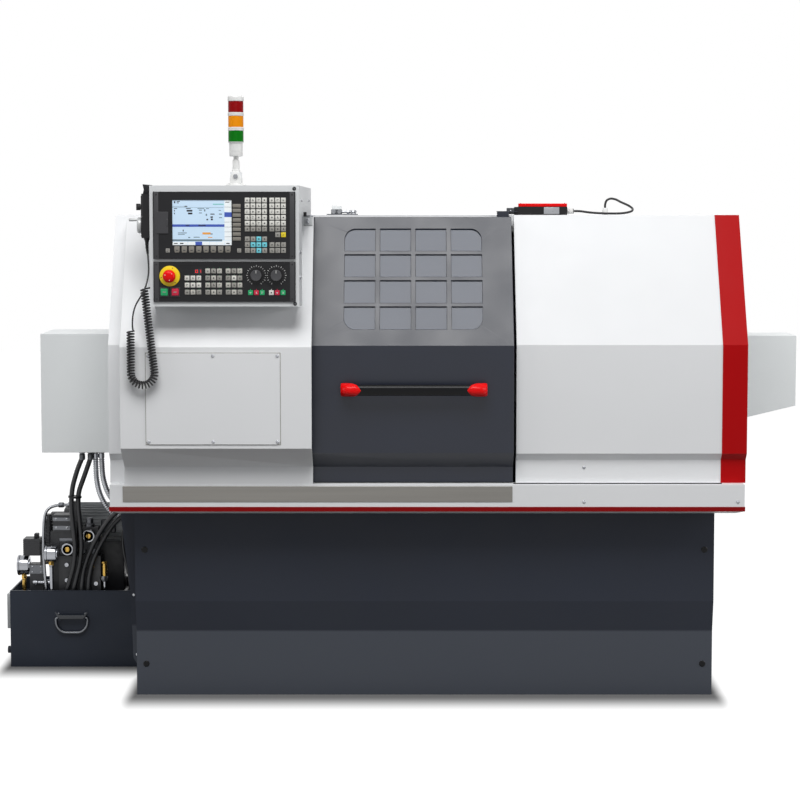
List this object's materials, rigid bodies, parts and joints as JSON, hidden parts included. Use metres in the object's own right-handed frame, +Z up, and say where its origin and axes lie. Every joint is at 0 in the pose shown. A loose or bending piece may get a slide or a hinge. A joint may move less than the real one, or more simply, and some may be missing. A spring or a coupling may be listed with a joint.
{
  "type": "CNC turning lathe",
  "caption": "CNC turning lathe with white sheet-metal guard, dark sliding door with a paned window, control box with hand pendant, signal tower, dark stand and hydraulic unit at the left.",
  "frame": {"origin": "on the floor, in the middle of the stand's outline", "axes": "+X along the spindle towards the tailstock, operator at -Y, +Z up"},
  "size_m": [2.593, 1.3773, 1.851],
  "materials": {
    "cover_white": "satin",
    "cover_grey": "satin",
    "stand_dark": "satin",
    "door_grey": "satin",
    "trim_red": "satin",
    "strip_steel": "satin",
    "panel_grey": "satin",
    "panel_black": "satin",
    "key_white": "satin",
    "screen_blue": "gloss",
    "window_glass": "gloss",
    "black_plastic": "satin",
    "red_plastic": "gloss",
    "green_plastic": "gloss",
    "amber_plastic": "gloss",
    "cable_black": "satin",
    "tank_dark": "satin",
    "pump_grey": "satin",
    "valve_metal": "satin",
    "bright_metal": "polished",
    "bare_steel": "satin",
    "light_metal": "satin",
    "bed_iron": "satin"
  },
  "bodies": {
    "machine": {"base_frame": "stand_dark", "chip_tray": "cover_white", "tray_steel_strip": "strip_steel", "red_trim": "trim_red", "left_front_cover": "cover_white", "access_panel": "cover_white", "cover_screws": "bright_metal", "right_front_cover": "cover_white", "rear_housing": "cover_white", "spindle_end_box": "cover_grey", "right_end_box": "cover_grey", "electrical_cabinet": "cover_grey", "interlock_switch": "black_plastic", "interlock_cable": "cable_black", "hydraulic_tank": "tank_dark", "oil_pump_unit": "pump_grey", "valve_manifold": "valve_metal", "pressure_gauges": "bright_metal", "hydraulic_hoses": "cable_black", "metal_conduits": "bare_steel", "panel_box": "panel_grey", "control_panels": "panel_black", "screen": "screen_blue", "panel_keys": "key_white", "pendant_body": "black_plastic", "pendant_cord": "cable_black", "machine_bed": "bed_iron", "headstock": "pump_grey", "spindle_motor": "pump_grey", "drive_belt": "cable_black", "z_drive": "bare_steel"},
    "door": {"door_panel": "door_grey", "door_window": "window_glass", "door_handle": "black_plastic", "handle_ends": "red_plastic"},
    "rear_door": {"cabinet_door": "cover_grey"},
    "bail": {"tank_bail": "bare_steel"},
    "estop": {"estop_button": "red_plastic"},
    "start": {"start_button": "green_plastic"},
    "stop": {"stop_button": "red_plastic"},
    "feed_knob": {"feed_dial": "black_plastic"},
    "spindle_knob": {"spindle_dial": "black_plastic"},
    "flap": {"port_flap": "black_plastic"},
    "handwheel": {"pendant_wheel": "light_metal"},
    "selector": {"pendant_knob": "black_plastic"},
    "tower": {"tower_mast": "light_metal", "tower_red": "red_plastic", "tower_amber": "amber_plastic", "tower_green": "green_plastic"},
    "spindle_line": {"spindle": "bare_steel", "chuck": "bare_steel"},
    "first_jaw": {"jaw_1": "bare_steel"},
    "second_jaw": {"jaw_2": "bare_steel"},
    "third_jaw": {"jaw_3": "bare_steel"},
    "drive_pulley": {"motor_pulley": "bare_steel"},
    "saddle_unit": {"saddle": "bed_iron"},
    "cross_unit": {"cross_slide": "bed_iron"},
    "turret": {"turret_head": "bare_steel"},
    "tailstock_unit": {"tailstock": "pump_grey"},
    "quill_unit": {"quill": "bare_steel"}
  },
  "joints": [
    {"name": "door_slide", "type": "slide", "parent": "machine", "child": "door", "axis": [-1, 0, 0], "range_m": [0, 0.48]},
    {"name": "rear_door_hinge", "type": "hinge", "parent": "machine", "child": "rear_door", "pos_m": [-0.457, 0.687, 1.08], "axis": [0, 0, 1], "range_deg": [0, 110]},
    {"name": "bail_hinge", "type": "hinge", "parent": "machine", "child": "bail", "pos_m": [-1.1615, -0.018, 0.166], "axis": [-1, 0, 0], "range_deg": [0, 80]},
    {"name": "estop_press", "type": "slide", "parent": "machine", "child": "estop", "axis": [0, 1, 0], "range_m": [0, 0.005]},
    {"name": "start_press", "type": "slide", "parent": "machine", "child": "start", "axis": [0, 1, 0], "range_m": [0, 0.003], "stiffness_N_per_m": 400},
    {"name": "stop_press", "type": "slide", "parent": "machine", "child": "stop", "axis": [0, 1, 0], "range_m": [0, 0.003], "stiffness_N_per_m": 400},
    {"name": "feed_turn", "type": "hinge", "parent": "machine", "child": "feed_knob", "pos_m": [-0.499, -0.646, 1.32], "axis": [0, -1, 0], "range_deg": [-150, 150]},
    {"name": "spindle_speed_turn", "type": "hinge", "parent": "machine", "child": "spindle_knob", "pos_m": [-0.44, -0.646, 1.32], "axis": [0, -1, 0], "range_deg": [-150, 150]},
    {"name": "flap_hinge", "type": "hinge", "parent": "machine", "child": "flap", "pos_m": [-0.793, -0.6478, 1.475], "axis": [0, 0, -1], "range_deg": [0, 100]},
    {"name": "handwheel_turn", "type": "hinge", "parent": "machine", "child": "handwheel", "pos_m": [-0.84, -0.585, 1.467], "axis": [-1, 0, 0], "continuous": true},
    {"name": "selector_turn", "type": "hinge", "parent": "machine", "child": "selector", "pos_m": [-0.84, -0.585, 1.521], "axis": [-1, 0, 0], "range_deg": [-60, 60]},
    {"name": "tower_fold", "type": "hinge", "parent": "machine", "child": "tower", "pos_m": [-0.564, -0.56, 1.612], "axis": [0, 1, 0], "range_deg": [0, 88]},
    {"name": "spindle_turn", "type": "hinge", "parent": "machine", "child": "spindle_line", "pos_m": [-0.33, -0.032, 0.985], "axis": [1, 0, 0], "continuous": true},
    {"name": "jaw_1_slide", "type": "slide", "parent": "spindle_line", "child": "first_jaw", "axis": [0, 0, 1], "range_m": [-0.004, 0.004]},
    {"name": "jaw_2_slide", "type": "slide", "parent": "spindle_line", "child": "second_jaw", "axis": [0, -0.866, -0.5], "range_m": [-0.004, 0.004]},
    {"name": "jaw_3_slide", "type": "slide", "parent": "spindle_line", "child": "third_jaw", "axis": [0, 0.866, -0.5], "range_m": [-0.004, 0.004]},
    {"name": "motor_turn", "type": "hinge", "parent": "machine", "child": "drive_pulley", "pos_m": [-0.84, 0.3, 0.72], "axis": [1, 0, 0], "continuous": true},
    {"name": "z_travel", "type": "slide", "parent": "machine", "child": "saddle_unit", "axis": [1, 0, 0], "range_m": [-0.3, 0.1]},
    {"name": "x_travel", "type": "slide", "parent": "saddle_unit", "child": "cross_unit", "axis": [0, 1, 0], "range_m": [-0.06, 0.1]},
    {"name": "turret_index", "type": "hinge", "parent": "cross_unit", "child": "turret", "pos_m": [0.25, -0.18, 0.905], "axis": [0, 0, 1], "continuous": true},
    {"name": "tailstock_slide", "type": "slide", "parent": "machine", "child": "tailstock_unit", "axis": [1, 0, 0], "range_m": [-0.1, 0.08]},
    {"name": "quill_slide", "type": "slide", "parent": "tailstock_unit", "child": "quill_unit", "axis": [-1, 0, 0], "range_m": [0, 0.08]}
  ],
  "couplings": [
    {"joint": "jaw_2_slide", "follows": "jaw_1_slide", "ratio": 1},
    {"joint": "jaw_3_slide", "follows": "jaw_1_slide", "ratio": 1},
    {"joint": "motor_turn", "follows": "spindle_turn", "ratio": 1.4167}
  ]
}
